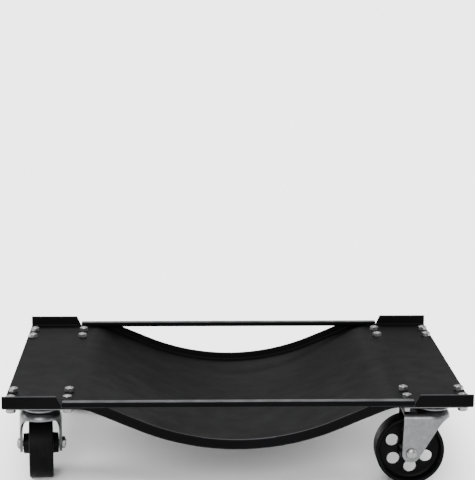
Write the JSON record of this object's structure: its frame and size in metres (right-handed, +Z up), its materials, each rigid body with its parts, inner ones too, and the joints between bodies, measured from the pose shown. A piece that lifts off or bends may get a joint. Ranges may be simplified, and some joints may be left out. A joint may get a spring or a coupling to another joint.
{
  "type": "wheel dolly",
  "caption": "Pressed steel tray with a rounded trough that cradles a car wheel, upturned edges and tie bars, carried on swivel casters with pierced wheels.",
  "frame": {"origin": "on the floor under the middle of the tray, where the wheels roll", "axes": "+X along the tray's length to the right, -Y towards the front edge, +Z up"},
  "size_m": [0.42, 0.314, 0.0925],
  "materials": {
    "black_paint": "semi-gloss black powder coat",
    "zinc": "bright zinc plate on pressed steel",
    "cast_iron": "black painted casting, satin turned tread",
    "steel": "plain oiled steel"
  },
  "bodies": {
    "tray_frame": {"tray": "black_paint", "front_tie_bar": "black_paint", "rear_tie_bar": "black_paint", "left_stiffener": "black_paint", "right_stiffener": "black_paint", "front_left_caster_plate": "zinc", "front_left_king_pin": "steel", "front_left_bolt_1": "zinc", "front_left_bolt_2": "zinc", "front_left_bolt_3": "zinc", "front_left_bolt_4": "zinc", "front_right_caster_plate": "zinc", "front_right_king_pin": "steel", "front_right_bolt_1": "zinc", "front_right_bolt_2": "zinc", "front_right_bolt_3": "zinc", "front_right_bolt_4": "zinc", "rear_left_caster_plate": "zinc", "rear_left_king_pin": "steel", "rear_left_bolt_1": "zinc", "rear_left_bolt_2": "zinc", "rear_left_bolt_3": "zinc", "rear_left_bolt_4": "zinc", "rear_right_caster_plate": "zinc", "rear_right_king_pin": "steel", "rear_right_bolt_1": "zinc", "rear_right_bolt_2": "zinc", "rear_right_bolt_3": "zinc", "rear_right_bolt_4": "zinc"},
    "front_left_swivel": {"front_left_ball_race": "zinc", "front_left_fork": "zinc", "front_left_bush": "steel", "front_left_axle": "zinc", "front_left_axle_nut": "zinc"},
    "front_left_roller": {"front_left_wheel": "cast_iron"},
    "front_right_swivel": {"front_right_ball_race": "zinc", "front_right_fork": "zinc", "front_right_bush": "steel", "front_right_axle": "zinc", "front_right_axle_nut": "zinc"},
    "front_right_roller": {"front_right_wheel": "cast_iron"},
    "rear_left_swivel": {"rear_left_ball_race": "zinc", "rear_left_fork": "zinc", "rear_left_bush": "steel", "rear_left_axle": "zinc", "rear_left_axle_nut": "zinc"},
    "rear_left_roller": {"rear_left_wheel": "cast_iron"},
    "rear_right_swivel": {"rear_right_ball_race": "zinc", "rear_right_fork": "zinc", "rear_right_bush": "steel", "rear_right_axle": "zinc", "rear_right_axle_nut": "zinc"},
    "rear_right_roller": {"rear_right_wheel": "cast_iron"}
  },
  "joints": [
    {"name": "front_left_swivel_turn", "type": "hinge", "parent": "tray_frame", "child": "front_left_swivel", "pos_m": [-0.179, -0.1175, 0.069], "axis": [0, 0, 1], "continuous": true},
    {"name": "front_left_wheel_spin", "type": "hinge", "parent": "front_left_swivel", "child": "front_left_roller", "pos_m": [-0.18083, -0.09658, 0.0315], "axis": [0.9962, 0.0872, 0], "continuous": true},
    {"name": "front_right_swivel_turn", "type": "hinge", "parent": "tray_frame", "child": "front_right_swivel", "pos_m": [0.179, -0.1175, 0.069], "axis": [0, 0, 1], "continuous": true},
    {"name": "front_right_wheel_spin", "type": "hinge", "parent": "front_right_swivel", "child": "front_right_roller", "pos_m": [0.158, -0.1175, 0.0315], "axis": [0, 1, 0], "continuous": true},
    {"name": "rear_left_swivel_turn", "type": "hinge", "parent": "tray_frame", "child": "rear_left_swivel", "pos_m": [-0.179, 0.1175, 0.069], "axis": [0, 0, 1], "continuous": true},
    {"name": "rear_left_wheel_spin", "type": "hinge", "parent": "rear_left_swivel", "child": "rear_left_roller", "pos_m": [-0.1618, 0.12955, 0.0315], "axis": [0.5736, -0.8192, 0], "continuous": true},
    {"name": "rear_right_swivel_turn", "type": "hinge", "parent": "tray_frame", "child": "rear_right_swivel", "pos_m": [0.179, 0.1175, 0.069], "axis": [0, 0, 1], "continuous": true},
    {"name": "rear_right_wheel_spin", "type": "hinge", "parent": "rear_right_swivel", "child": "rear_right_roller", "pos_m": [0.1618, 0.12955, 0.0315], "axis": [0.5736, 0.8192, 0], "continuous": true}
  ]
}
